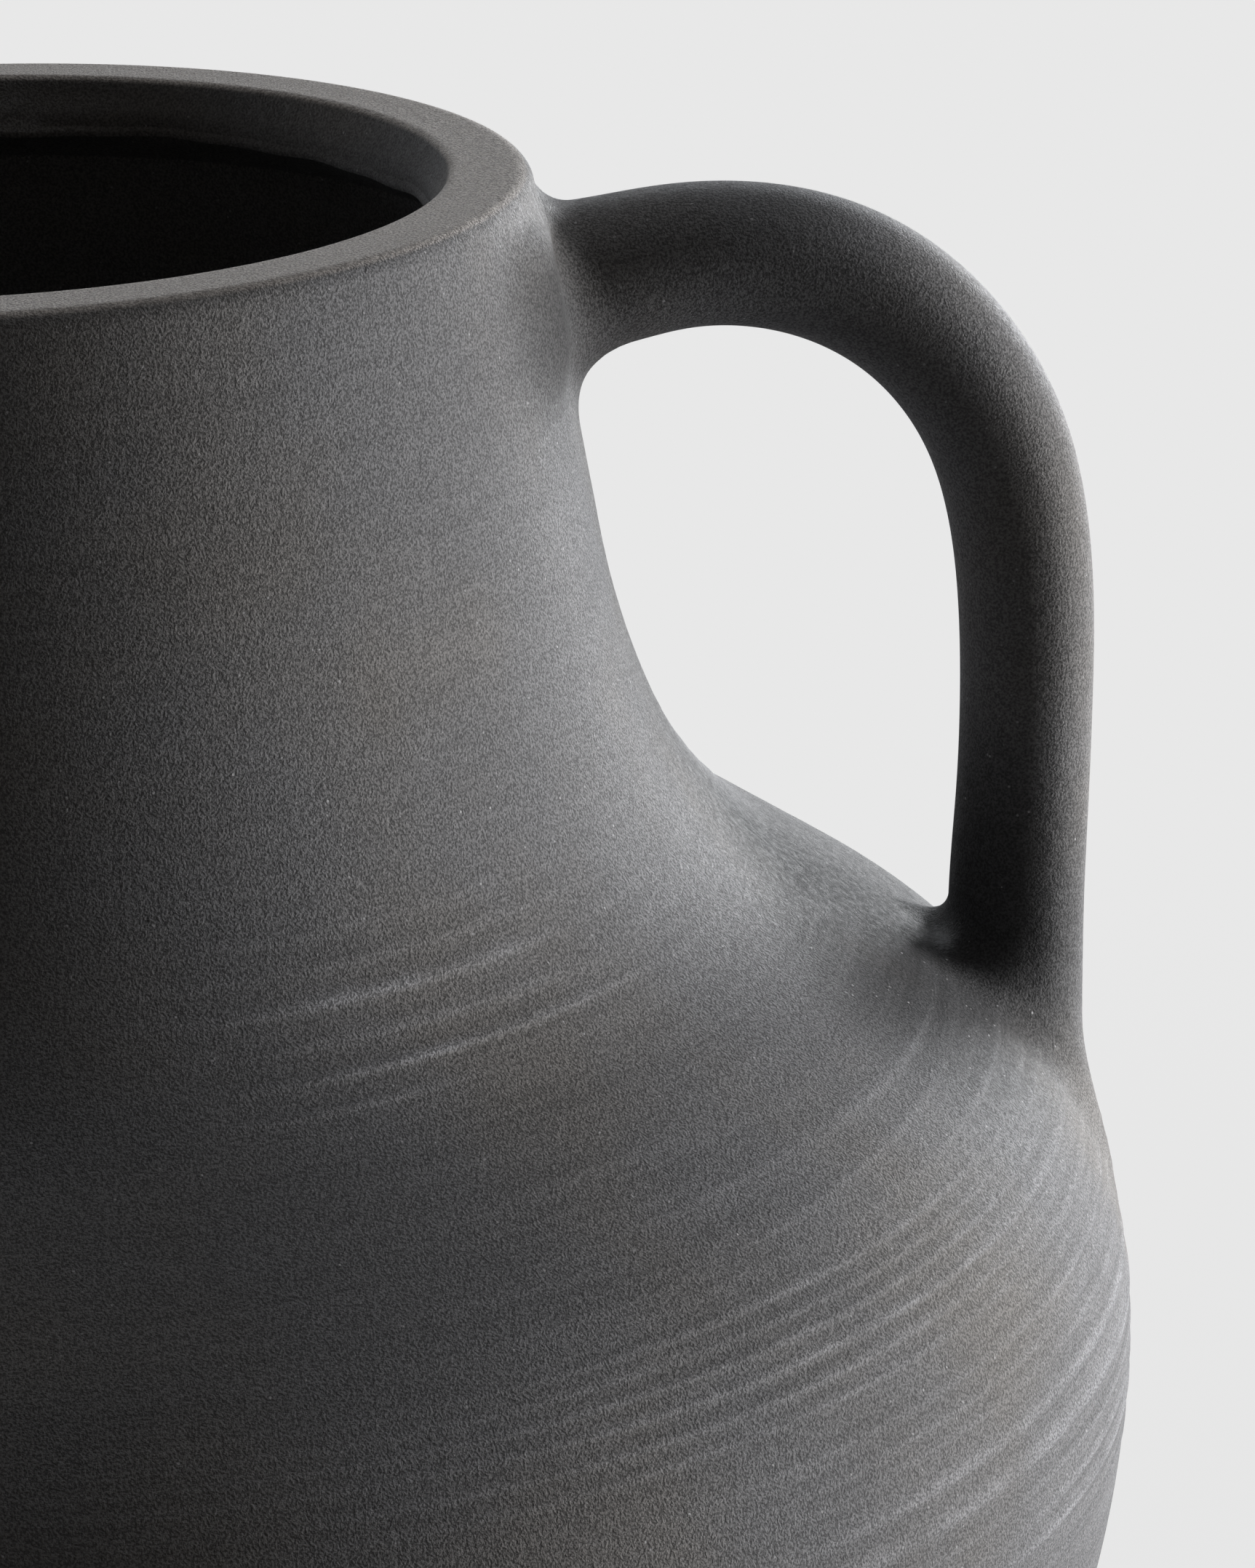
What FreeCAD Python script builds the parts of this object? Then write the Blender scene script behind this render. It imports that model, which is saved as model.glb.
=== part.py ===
"""One-handled stoneware jar, thrown in sections and luted together.

The jar stands on z = 0 with its axis on z, and its strap handle lies in the xz plane on the +x side.
Lengths are in millimetres.
"""
import FreeCAD, Part
import Sketcher
import os
import re

# Driving dimensions. The outer skin is a chain of sides from the rim down to the base: a side's fall is
# how far it comes down, and its run how far it goes out, or in below the belly.
SIZES = {
    "rim_radius": 75.0,
    "neck_run": 14.3,
    "neck_fall": 85.0,
    "shoulder_run": 62.5,
    "shoulder_fall": 38.8,
    "belly_fall": 55.0,
    "flank_run": 22.0,
    "flank_fall": 60.5,
    "base_run": 52.8,
    "base_fall": 62.7,
    "neck_bend_share": 0.416,
    "shoulder_bend_share": 0.536,
    "belly_bend_share": 0.364,
    "flank_bend_share": 0.62,
    "wall": 8.0,
    "floor_thickness": 10.0,
    "floor_round": 34.0,
    "mouth_inset": 11.0,
    "throat_inset": 13.4,
    "lip_band": 7.2,
    "lip_height": 12.0,
    "rim_round": 2.0,
    "mouth_round": 1.6,
    "foot_height": 8.0,
    "foot_width": 14.0,
    "foot_taper": 2.5,
    "foot_track": 10.0,
    "foot_bevel": 1.5,
    "belly_joint_share": 0.415,
    "shoulder_joint_share": 0.5,
    "tongue": 3.0,
    "overrun": 2.0,
    "handle_thickness": 17.6,
    "handle_depth": 22.0,
    "handle_round": 6.0,
    "handle_root_inset": 5.0,
    "handle_root_drop": 17.1,
    "handle_crown_inset": 21.3,
    "handle_crown_drop": 9.8,
    "handle_back_inset": 11.4,
    "handle_back_drop": 61.2,
    "handle_foot_inset": 14.6,
    "handle_foot_sink": 14.2,
    "crown_bend_share": 0.695,
    "back_bend_share": 0.29,
    "coil_spread": 10.0,
    "coil_lip": 1.2,
    "coil_waist_share": 0.35,
    "neck_coil_seat": 3.0,
    "neck_coil_reach": 15.0,
    "neck_coil_rise": 3.6,
    "neck_coil_tilt": 83.0,
    "shoulder_coil_sink": 3.2,
    "shoulder_coil_reach": 23.0,
    "shoulder_coil_rise_share": 0.55,
    "shoulder_coil_tilt": 42.0,
    "shoulder_coil_open": 5.0,
}

# Every side as (run, fall), for the skin and for the handle's centre line.
SIDES = {
    "neck": ("neck_run", "neck_fall"),
    "shoulder": ("shoulder_run", "shoulder_fall"),
    "belly": ("0", "belly_fall"),
    "flank": ("(0 - flank_run)", "flank_fall"),
    "base": ("(0 - base_run)", "base_fall"),
    "arch": ("(handle_crown_radius - handle_root_radius)", "(handle_crown_drop - handle_root_drop)"),
    "bow": ("(handle_back_radius - handle_crown_radius)", "(handle_back_drop - handle_crown_drop)"),
    "tail": ("(handle_foot_radius - handle_back_radius)", "(handle_foot_drop - handle_back_drop)"),
}

# Sizes that follow from the driving ones.
FORMULAS = {
    "flank_height": "foot_height + base_fall",
    "belly_height": "flank_height + flank_fall",
    "shoulder_height": "belly_height + belly_fall",
    "neck_root_height": "shoulder_height + shoulder_fall",
    "total_height": "neck_root_height + neck_fall",
    "neck_root_radius": "rim_radius + neck_run",
    "belly_radius": "neck_root_radius + shoulder_run",
    "shoulder_radius": "belly_radius",
    "flank_radius": "belly_radius - flank_run",
    "base_radius": "flank_radius - base_run",
    "mouth_radius": "rim_radius - mouth_inset",
    "throat_radius": "rim_radius - throat_inset",
    "floor_height": "foot_height + floor_thickness",
    "foot_outer_radius": "base_radius - foot_taper",
    "foot_inner_radius": "foot_outer_radius - foot_track",
    "belly_joint_height": "belly_height + belly_fall * belly_joint_share",
    "handle_root_radius": "rim_radius - handle_root_inset",
    "handle_crown_radius": "belly_radius - handle_crown_inset",
    "handle_back_radius": "belly_radius - handle_back_inset",
    "handle_foot_radius": "belly_radius - handle_foot_inset",
    "handle_foot_drop": "neck_fall + shoulder_fall + handle_foot_sink",
}
for name, (run, fall) in SIDES.items():
    FORMULAS[name + "_length"] = "sqrt(%s ^ 2 + %s ^ 2)" % (run, fall)

# Each corner: the sides that meet there, and how far its rounding reaches along the upper and lower one.
CORNERS = {
    "neck_root": ("neck", "shoulder", "neck_length / 2", "neck_bend_share * shoulder_length"),
    "shoulder": ("shoulder", "belly", "(1 - neck_bend_share) * shoulder_length",
                 "shoulder_bend_share * belly_length"),
    "belly": ("belly", "flank", "(1 - shoulder_bend_share) * belly_length",
              "belly_bend_share * flank_length"),
    "flank": ("flank", "base", "flank_bend_share * flank_length", "base_length / 2"),
    "crown": ("arch", "bow", "arch_length * (1 - back_bend_share)", "crown_bend_share * bow_length"),
    "back": ("bow", "tail", "back_bend_share * bow_length", "tail_length / 2"),
}
for name, (upper, lower, *reaches) in CORNERS.items():
    runs, falls = zip(SIDES[upper], SIDES[lower])
    lengths = upper + "_length", lower + "_length"
    FORMULAS[name + "_pair"] = "%s * %s + %s * %s + %s * %s" % (*lengths, *runs, *falls)
    FORMULAS[name + "_twist"] = "abs(%s * %s - %s * %s)" % (runs[0], falls[1], runs[1], falls[0])
    FORMULAS[name + "_round"] = "min(%s; %s) * %s_pair / %s_twist" % (*reaches, name, name)

# The hollow's own corners lie one wall thickness inside the skin's.
HOLLOW_CORNERS = "neck_root", "shoulder", "belly", "flank"
for name in HOLLOW_CORNERS:
    upper, lower = CORNERS[name][:2]
    for kind, (first, second) in zip(("radius", "height"), zip(*[SIDES[side][::-1] for side in (upper, lower)])):
        offset = "wall * (%s * %s_length + %s * %s_length) / %s_pair" % (first, lower, second, upper, name)
        FORMULAS["hollow_%s_%s" % (name, kind)] = "%s_%s - %s" % (name, kind, offset)

doc = FreeCAD.newDocument("one_handled_jar")
sheet = doc.addObject("Spreadsheet::Sheet", "Sizes")
contents = {**SIZES, **{alias: "=" + formula for alias, formula in FORMULAS.items()}}
for row, (alias, amount) in enumerate(contents.items(), start=1):
    sheet.set("A%d" % row, alias)
    sheet.set("B%d" % row, str(amount))
    sheet.setAlias("B%d" % row, alias)
doc.recompute()


def cells(formula):
    """The formula with each size's name turned into its cell's."""
    return re.sub(r"[a-z_]+", lambda word: ("Sizes." if word[0] in contents else "") + word[0], formula)


def amount_of(formula):
    """What a plain sum of sizes, such as "neck_root_round + wall", comes to."""
    result, sign = 0.0, 1
    for word in formula.split():
        if word in "+-":
            sign = 1 if word == "+" else -1
        else:
            result += sign * sheet.get(word)
    return result


def origin_plane(body, role):
    return next(feature for feature in body.Origin.OriginFeatures if feature.Role == role)


def new_sketch(body, name, plane):
    sketch = body.newObject("Sketcher::SketchObject", name)
    sketch.AttachmentSupport = [(origin_plane(body, plane), "")]
    sketch.MapMode = "FlatFace"
    return sketch


def draw_outline(sketch, corners, closed=True):
    """A run of straight lines through (x, y, round) corners, each bound to the sheet, then its roundings."""
    count = len(corners)
    runs = count if closed else count - 1
    for index in range(runs):
        start = FreeCAD.Vector(index, index * index, 0)
        end = FreeCAD.Vector(index + 1, (index + 1) ** 2, 0)
        sketch.addGeometry(Part.LineSegment(start, end), False)
    for index in range(count if closed else count - 2):
        sketch.addConstraint(Sketcher.Constraint("Coincident", index, 2, (index + 1) % runs, 1))
    for index, corner in enumerate(corners):
        line, end = (index, 1) if index < runs else (index - 1, 2)
        for kind, formula in zip(("DistanceX", "DistanceY"), corner[:2]):
            number = sketch.addConstraint(Sketcher.Constraint(kind, line, end, 0.0))
            if formula != "0":
                sketch.setExpression("Constraints[%d]" % number, cells(formula))
    doc.recompute()
    for index, corner in enumerate(corners):
        if len(corner) == 3:
            before, after = (index - 1) % runs, index
            lines = sketch.Geometry[before], sketch.Geometry[after]
            near = [(line.StartPoint + line.EndPoint) / 2 for line in lines]
            sketch.fillet(before, after, near[0], near[1], amount_of(corner[2]), True, True)
            arc = next(number for number in reversed(range(sketch.GeometryCount))
                       if isinstance(sketch.Geometry[number], Part.ArcOfCircle))
            number = sketch.addConstraint(Sketcher.Constraint("Radius", arc, amount_of(corner[2])))
            sketch.setExpression("Constraints[%d]" % number, cells(corner[2]))
    doc.recompute()


def turned(name, corners):
    """A body turned about z from an outline of (radius, height, round) corners."""
    body = doc.addObject("PartDesign::Body", name)
    profile = new_sketch(body, name + "_profile", "XZ_Plane")
    draw_outline(profile, corners)
    turning = body.newObject("PartDesign::Revolution", name + "_turning")
    turning.Profile = profile
    turning.ReferenceAxis = (profile, ["V_Axis"])
    turning.Angle = 360
    profile.Visibility = False
    doc.recompute()
    return body


def combined(kind, name, base, tool):
    """A Part::Cut or Part::Common of two objects."""
    result = doc.addObject("Part::" + kind, name)
    result.Base = base
    result.Tool = tool
    doc.recompute()
    return result


skin = turned("skin", [
    ("0", "total_height"),
    ("rim_radius", "total_height", "rim_round"),
    ("neck_root_radius", "neck_root_height", "neck_root_round"),
    ("belly_radius", "shoulder_height", "shoulder_round"),
    ("belly_radius", "belly_height", "belly_round"),
    ("flank_radius", "flank_height", "flank_round"),
    ("base_radius", "foot_height"),
    ("0", "foot_height"),
])

# The hollow inside, with the mouth's band, the ledge under it, and a plate that levels the rim.
above_rim = "total_height + lip_height"
past_rim = "rim_radius + lip_height"
ledge = "rim_radius + neck_run * lip_height / neck_fall - wall * neck_length / neck_fall"
corner_of_floor = "base_radius + base_run * floor_thickness / base_fall - wall * base_length / base_fall"
hollow = turned("hollow", [
    ("0", above_rim),
    (past_rim, above_rim),
    (past_rim, "total_height"),
    ("mouth_radius", "total_height", "mouth_round"),
    ("throat_radius", "total_height - lip_band"),
    (ledge, "total_height - lip_height"),
    ("hollow_neck_root_radius", "hollow_neck_root_height", "neck_root_round + wall"),
    ("hollow_shoulder_radius", "hollow_shoulder_height", "shoulder_round - wall"),
    ("hollow_belly_radius", "hollow_belly_height", "belly_round - wall"),
    ("hollow_flank_radius", "hollow_flank_height", "flank_round - wall"),
    (corner_of_floor, "floor_height", "floor_round"),
    ("0", "floor_height"),
])
wall_of_jar = combined("Cut", "wall_of_jar", skin, hollow)

# Each joint between two sections is a tongue along the wall's middle: inner end, ridge and outer end.
joint_radius = "neck_root_radius + shoulder_run * shoulder_joint_share"
joint_height = "neck_root_height - shoulder_fall * shoulder_joint_share"


def on_shoulder(depth, rise):
    """A point of the shoulder joint: depth under the skin, and rise along the shoulder towards the neck."""
    along = "(%s) * shoulder_fall + (%s) * shoulder_run" % (depth, rise)
    across = "(%s) * shoulder_run - (%s) * shoulder_fall" % (depth, rise)
    radius = "%s - (%s) / shoulder_length" % (joint_radius, along)
    height = "%s - (%s) / shoulder_length" % (joint_height, across)
    return radius, height


LIP_JOINT = [
    ("rim_radius - wall - overrun", "total_height - lip_height"),
    ("rim_radius - wall / 2 + overrun", "total_height - lip_height + tongue"),
    ("rim_radius + 2 * overrun", "total_height - lip_height"),
]
SHOULDER_JOINT = [
    on_shoulder("wall + overrun", "0 - overrun"),
    on_shoulder("wall / 2", "tongue"),
    on_shoulder("0 - overrun", "0 - overrun"),
]
BELLY_JOINT = [
    ("belly_radius - wall - overrun", "belly_joint_height"),
    ("belly_radius - wall / 2", "belly_joint_height + tongue"),
    ("belly_radius + overrun", "belly_joint_height"),
]
FOOT_JOINT = [
    ("base_radius - foot_width", "foot_height"),
    ("base_radius - foot_width / 2", "foot_height + tongue"),
    ("base_radius", "foot_height"),
]
outside = "belly_radius + wall"


def section(name, upper, lower):
    """The band of the wall between two joints."""
    band = turned(name + "_band", [
        ("0", upper[0][1]),
        *upper,
        (outside, upper[-1][1]),
        (outside, lower[-1][1]),
        *reversed(lower),
        ("0", lower[0][1]),
    ])
    return combined("Common", name, wall_of_jar, band)


top_level = [("mouth_radius", above_rim), ("rim_radius", above_rim)]
lip_ring = section("lip_ring", top_level, LIP_JOINT)
neck = section("neck", LIP_JOINT, SHOULDER_JOINT)
upper_body = section("upper_body", SHOULDER_JOINT, BELLY_JOINT)
lower_body = section("lower_body", BELLY_JOINT, FOOT_JOINT)
foot_ring = turned("foot_ring", [
    *FOOT_JOINT,
    ("foot_outer_radius", "foot_bevel"),
    ("foot_outer_radius - foot_bevel", "0"),
    ("foot_inner_radius + foot_bevel", "0"),
    ("foot_inner_radius", "foot_bevel"),
])


def rounded_section(sketch, low_x, high_x, low_y, high_y, corner_round):
    """A four-sided section with rounded corners."""
    draw_outline(sketch, [
        (low_x, low_y, corner_round),
        (high_x, low_y, corner_round),
        (high_x, high_y, corner_round),
        (low_x, high_y, corner_round),
    ])


# The strap handle: a rounded section pulled along its arch, with both ends buried in the wall.
half = "handle_thickness / 2"
root_height = "total_height - handle_root_drop"
strap = doc.addObject("PartDesign::Body", "strap")
arch = new_sketch(strap, "strap_arch", "XZ_Plane")
draw_outline(arch, [
    ("handle_root_radius", root_height),
    ("handle_crown_radius", "total_height - handle_crown_drop", "crown_round"),
    ("handle_back_radius", "total_height - handle_back_drop", "back_round"),
    ("handle_foot_radius", "total_height - handle_foot_drop"),
], closed=False)
strap_section = new_sketch(strap, "strap_section", "YZ_Plane")
strap_section.setExpression("AttachmentOffset.Base.z", cells("handle_root_radius"))
rounded_section(
    strap_section,
    "0 - handle_depth / 2",
    "handle_depth / 2",
    "%s - %s" % (root_height, half),
    "%s + %s" % (root_height, half),
    "handle_round",
)
pull = strap.newObject("PartDesign::AdditivePipe", "strap_pull")
pull.Profile = strap_section
pull.Spine = arch
doc.recompute()
handle = combined("Cut", "handle", strap, skin)

# How far each of a coil's three sections reaches past the strap, from the wall outwards.
SPREADS = ["coil_spread", "coil_spread * coil_waist_share", "coil_lip"]


def coil(name, places, tilt, back, front):
    """A collar of clay pressed round the strap: three sections from the wall outwards, then both cut away.

    places are the centres (x, z) of the sections, and tilt turns their planes about y from level.
    back and front are how far each section reaches from its centre to either side of the tilted plane.
    """
    body = doc.addObject("PartDesign::Body", name + "_clay")
    sections = []
    for number, place in enumerate(places):
        sketch = new_sketch(body, "%s_section_%d" % (name, number + 1), "XY_Plane")
        turn = FreeCAD.Rotation(FreeCAD.Vector(0, 1, 0), sheet.get(tilt))
        sketch.AttachmentOffset = FreeCAD.Placement(FreeCAD.Vector(), turn)
        sketch.setExpression("AttachmentOffset.Base.x", cells(place[0]))
        sketch.setExpression("AttachmentOffset.Base.z", cells(place[1]))
        across = "handle_depth / 2 + " + SPREADS[number]
        rounded_section(
            sketch,
            "0 - (%s)" % back[number],
            front[number],
            "0 - (%s)" % across,
            across,
            "handle_round",
        )
        sections.append(sketch)
    loft = body.newObject("PartDesign::AdditiveLoft", name + "_loft")
    loft.Profile = sections[0]
    loft.Sections = sections[1:]
    loft.Ruled = False
    doc.recompute()
    return combined("Cut", name, combined("Cut", name + "_fitted", body, strap), skin)


def along_root(reach):
    """A point of the handle's centre line, reach outwards from its buried root."""
    rise = "(%s) * (handle_root_drop - handle_crown_drop) / %s" % (reach, SIDES["arch"][0])
    return "handle_root_radius + " + reach, "%s + %s" % (root_height, rise)


handle_neck_coil = coil(
    "handle_neck_coil",
    [
        along_root("neck_coil_seat"),
        along_root("neck_coil_seat + neck_coil_reach / 2"),
        along_root("neck_coil_seat + neck_coil_reach"),
    ],
    "neck_coil_tilt",
    [half + " + neck_coil_rise", half + " + coil_lip", half + " + coil_lip"],
    ["%s + %s" % (half, spread) for spread in SPREADS],
)

slant = half + " / cos(shoulder_coil_tilt)"
seat = "shoulder_height - shoulder_coil_sink"
handle_shoulder_coil = coil(
    "handle_shoulder_coil",
    [
        ("handle_foot_radius", seat),
        ("handle_foot_radius", seat + " + shoulder_coil_reach * shoulder_coil_rise_share"),
        ("handle_foot_radius", seat + " + shoulder_coil_reach"),
    ],
    "shoulder_coil_tilt",
    ["%s + %s" % (slant, spread) for spread in SPREADS],
    [slant + " - shoulder_coil_open"] * len(SPREADS),
)

pieces = [
    foot_ring,
    lower_body,
    upper_body,
    neck,
    lip_ring,
    handle,
    handle_neck_coil,
    handle_shoulder_coil,
]
doc.recompute()
for thing in doc.Objects:
    if "Invalid" in thing.State or "Error" in thing.State:
        raise RuntimeError("%s did not build: %s" % (thing.Label, thing.State))
for piece in pieces:
    if piece.Shape.isNull() or not piece.Shape.isValid():
        raise RuntimeError("%s has no valid shape" % piece.Label)

os.makedirs("parts", exist_ok=True)
for piece in pieces:
    piece.Shape.exportStep("parts/%s.step" % piece.Label)
    print("%-22s solids %d  volume %.0f mm3" % (piece.Label, len(piece.Shape.Solids), piece.Shape.Volume))
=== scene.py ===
import math
import bpy
import numpy as np
from mathutils import Matrix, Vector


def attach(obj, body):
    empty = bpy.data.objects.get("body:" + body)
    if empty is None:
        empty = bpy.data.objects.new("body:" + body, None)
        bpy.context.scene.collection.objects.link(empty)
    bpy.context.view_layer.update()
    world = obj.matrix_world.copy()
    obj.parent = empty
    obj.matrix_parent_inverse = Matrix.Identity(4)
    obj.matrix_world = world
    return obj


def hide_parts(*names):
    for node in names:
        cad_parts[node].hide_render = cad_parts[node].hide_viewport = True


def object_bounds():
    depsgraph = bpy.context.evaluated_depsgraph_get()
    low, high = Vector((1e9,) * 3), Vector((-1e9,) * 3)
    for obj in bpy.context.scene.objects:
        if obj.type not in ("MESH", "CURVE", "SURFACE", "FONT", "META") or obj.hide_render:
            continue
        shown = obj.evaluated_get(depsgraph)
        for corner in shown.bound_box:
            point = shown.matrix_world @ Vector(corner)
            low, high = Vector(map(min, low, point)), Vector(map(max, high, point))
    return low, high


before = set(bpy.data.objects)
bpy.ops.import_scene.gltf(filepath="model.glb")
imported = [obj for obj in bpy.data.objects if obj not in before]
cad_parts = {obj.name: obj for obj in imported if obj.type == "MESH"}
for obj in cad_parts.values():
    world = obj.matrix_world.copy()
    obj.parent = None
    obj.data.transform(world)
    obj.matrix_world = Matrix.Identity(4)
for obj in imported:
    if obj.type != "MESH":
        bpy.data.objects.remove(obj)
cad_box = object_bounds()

TOP = round(cad_box[1][2] * 1000.0, 2)
RIM_RADIUS = 75.0
MOUTH_RADIUS = 64.07
THROAT_RADIUS = 61.7
LEDGE_RADIUS = 69.05
LIP_BAND = 7.15
LIP_HEIGHT = 12.0
LIP_ROUND = 2.6
MOUTH_ROUND = 1.5
THROAT_ROUND = 0.9
WALL = 8.0
TONGUE = 3.0
FOOT_HEIGHT = 8.0
FOOT_OUTER = 74.5
FOOT_INNER = 64.5
FOOT_ROUND = 1.6
FLOOR_LEVEL = 18.0
SHOULDER_DROP = 104.4
BELLY_DROP = 156.0
AROUND = 384

# The outline of the thrown wall: straight runs, and rounds as (radius, heading at the lower end).

NECK_LEAN = 9.4
NECK_RUN = 49.43
NECK_FLARE = (108.07, 22.67)
NECK_ROOT = (54.86, 56.34)
SHOULDER_RUN = 21.38
SHOULDER_ROUND = (53.47, 0.0)
BELLY_ROUND = (133.0, -20.0)
BASE_ROUND = (225.0, -40.0)
BASE_RUN = 44.5
ROUND_REACH = LIP_ROUND * math.tan(math.radians((90 - NECK_LEAN) / 2))


def walk(start, heading, legs, step=0.1):
    """Rows (radius, height, heading) down a smooth outline. A leg is (length,) or (radius, new heading).

    The heading is the angle between the outline and straight down, in degrees, outwards positive. The rows
    hold it in radians.
    """
    rows = [(*start, math.radians(heading))]
    for leg in legs:
        r, h, a = rows[-1]
        if len(leg) == 1:
            count = max(2, int(leg[0] / step))
            for q in np.linspace(0, leg[0], count + 1)[1:]:
                rows.append((r + q * math.sin(a), h - q * math.cos(a), a))
        else:
            radius, b = leg[0], math.radians(leg[1])
            side = 1 if b > a else -1
            count = max(2, int(abs(b - a) * radius / step))
            for q in np.linspace(a, b, count + 1)[1:]:
                across = radius * side * (math.cos(a) - math.cos(q))
                down = radius * side * (math.sin(q) - math.sin(a))
                rows.append((r + across, h - down, q))
    return np.array(rows)


SKIN = walk((MOUTH_RADIUS + MOUTH_ROUND, TOP), 90, [
    (RIM_RADIUS - ROUND_REACH - MOUTH_RADIUS - MOUTH_ROUND,),
    (LIP_ROUND, NECK_LEAN),
    (NECK_RUN - ROUND_REACH,),
    NECK_FLARE,
    NECK_ROOT,
    (SHOULDER_RUN,),
    SHOULDER_ROUND,
    BELLY_ROUND,
    BASE_ROUND,
    (BASE_RUN,),
])
SKIN = SKIN[SKIN[:, 1] >= FOOT_HEIGHT]
LENGTHS = np.concatenate([[0.0], np.cumsum(np.hypot(np.diff(SKIN[:, 0]), np.diff(SKIN[:, 1])))])
OUTER_START = int(np.argmax(SKIN[:, 2] < math.radians(NECK_LEAN + 0.1)))
OUTER_DROPS = TOP - SKIN[OUTER_START:, 1]
OUTER_LENGTHS = LENGTHS[OUTER_START:]


def length_at(drop):
    """Distance along the outline at a drop below the lip's rounded edge."""
    return np.interp(drop, OUTER_DROPS, OUTER_LENGTHS)


def outer_points(lengths):
    """Rows (radius, height, heading) of the skin at these distances along it."""
    return np.stack([np.interp(lengths, LENGTHS, SKIN[:, column]) for column in range(3)], axis=1)


def inner_points(upper, lower, step=3.0):
    """The inside of the wall between two drops of the skin, going up, one wall thickness in."""
    first, last = length_at([upper, lower])
    rows = outer_points(np.linspace(last, first, max(3, int((last - first) / step))))
    inset = rows.copy()
    inset[:, 0] -= WALL * np.cos(rows[:, 2])
    inset[:, 1] -= WALL * np.sin(rows[:, 2])
    return inset


# Distances between a mesh's rows: close where the throwing lines show, and wide near the base.

LINED_DROPS = (66, 182)
COARSE_DROP = 225
LINED_STEP, PLAIN_STEP, COARSE_STEP = 0.3, 0.9, 2.0


def row_step(drop):
    """Distance from the row at this drop to the next one."""
    if LINED_DROPS[0] < drop < LINED_DROPS[1]:
        return LINED_STEP
    return PLAIN_STEP if drop < COARSE_DROP else COARSE_STEP


def fine_rows(upper, lower):
    """Distances along the outline between two drops, close together where the throwing lines lie."""
    first, last = length_at([upper, lower])
    rows, here = [first], first
    while True:
        step = row_step(np.interp(here, OUTER_LENGTHS, OUTER_DROPS))
        here += step
        if here > last - 0.6 * step:
            break
        rows.append(here)
    return np.array(rows + [last])


# Ridges that the potter's fingers left: drop, height, width, middle azimuth and half spread in degrees,
# and how far the ridge climbs down per radian.

RIDGES = [
    (75.0, 0.10, 0.63, -60, 22, 0.0),
    (79.0, 0.14, 0.60, -60, 20, 0.2),
    (82.6, 0.34, 0.60, -60, 19, 0.0),
    (86.5, 0.14, 0.50, -56, 20, 0.0),
    (89.7, 0.36, 0.36, -58, 18, 0.1),
    (92.6, 0.22, 0.30, -66, 9, 0.0),
    (107.5, 0.13, 0.42, -28, 28, 0.0),
    (111.0, 0.13, 0.32, -34, 20, -4.0),
    (114.0, 0.13, 0.35, -20, 18, -1.0),
    (117.0, 0.17, 0.30, -45, 36, 0.0),
    (119.0, 0.15, 0.30, -45, 36, 0.0),
    (121.0, 0.22, 0.32, -45, 38, 0.2),
    (123.5, 0.26, 0.35, -45, 38, 1.0),
    (126.0, 0.19, 0.39, -52, 30, 0.5),
    (128.5, 0.15, 0.39, -50, 32, 0.3),
    (133.5, 0.13, 0.39, -28, 36, 0.0),
    (136.5, 0.15, 0.39, -26, 36, 0.2),
    (139.0, 0.13, 0.39, -24, 34, 0.0),
    (143.5, 0.26, 0.77, -30, 34, 0.3),
    (148.5, 0.26, 0.84, -26, 34, 0.0),
    (153.0, 0.15, 0.35, -22, 32, 0.2),
    (157.0, 0.18, 0.56, -20, 32, 0.0),
    (160.5, 0.24, 0.77, -24, 34, 0.3),
    (165.5, 0.14, 0.42, -20, 30, 0.0),
]
ECHO_TURNS = (95, 175, 250)
FAINT_DROPS = (34.0, 262)
FAINT_AT_A_DROP = 3
# Shares of a ridge's spread and width in its bell curves: round the jar, and below and above its crest.
SPREAD_SHARE = 0.62
LOWER_FLANK, UPPER_FLANK = 0.6, 1.5


def thrown_lines():
    """The ridges with their echoes round the rest of the jar, and fainter ones between them."""
    rng = np.random.default_rng(41)
    lines = list(RIDGES)
    for drop, height, width, middle, spread, climb in RIDGES:
        for turn in ECHO_TURNS:
            shift = rng.normal(0, 14)
            lines.append((drop + rng.normal(0, 0.5), height * rng.uniform(0.35, 1.0), width,
                          middle + turn + shift, spread * rng.uniform(0.8, 1.5), climb + rng.normal(0, 0.3)))
    drop = FAINT_DROPS[0]
    while drop < FAINT_DROPS[1]:
        drop += rng.uniform(0.9, 3.4)
        for _ in range(FAINT_AT_A_DROP):
            lines.append((drop + rng.normal(0, 0.15), rng.uniform(0.004, 0.022), rng.uniform(0.4, 0.9),
                          rng.uniform(-180, 180), rng.uniform(16, 60), rng.normal(0, 0.25)))
    return lines


THROWN = thrown_lines()


def line_heights(drops, azimuths):
    """Heights of the throwing lines on a grid, with a row per drop, growing, and a column per azimuth."""
    total = np.zeros((len(drops), len(azimuths)))
    for middle, height, width, where, spread, climb in THROWN:
        away = (azimuths - math.radians(where) + math.pi) % (2 * math.pi) - math.pi
        window = np.exp(-0.5 * (away / math.radians(spread * SPREAD_SHARE)) ** 2)
        reach = 5 * width + abs(climb) * math.radians(spread * 2)
        low, high = np.searchsorted(drops, [middle - reach, middle + reach])
        below = drops[low:high, None] - middle - climb * away
        flank = np.where(below > 0, LOWER_FLANK, UPPER_FLANK) * width
        total[low:high] += height * window * np.exp(-0.5 * (below / flank) ** 2)
    return total


def smooth(low, high, value):
    """0 below low, 1 above high, and an even rise between."""
    share = np.clip((value - low) / (high - low), 0.0, 1.0)
    return share * share * (3.0 - 2.0 * share)


OVAL = 0.10
BELLY_INSET = 0.20
# Drops over which the relief fades out above the foot ring's joint.
BASE_FADE = (292, 300)
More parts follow.
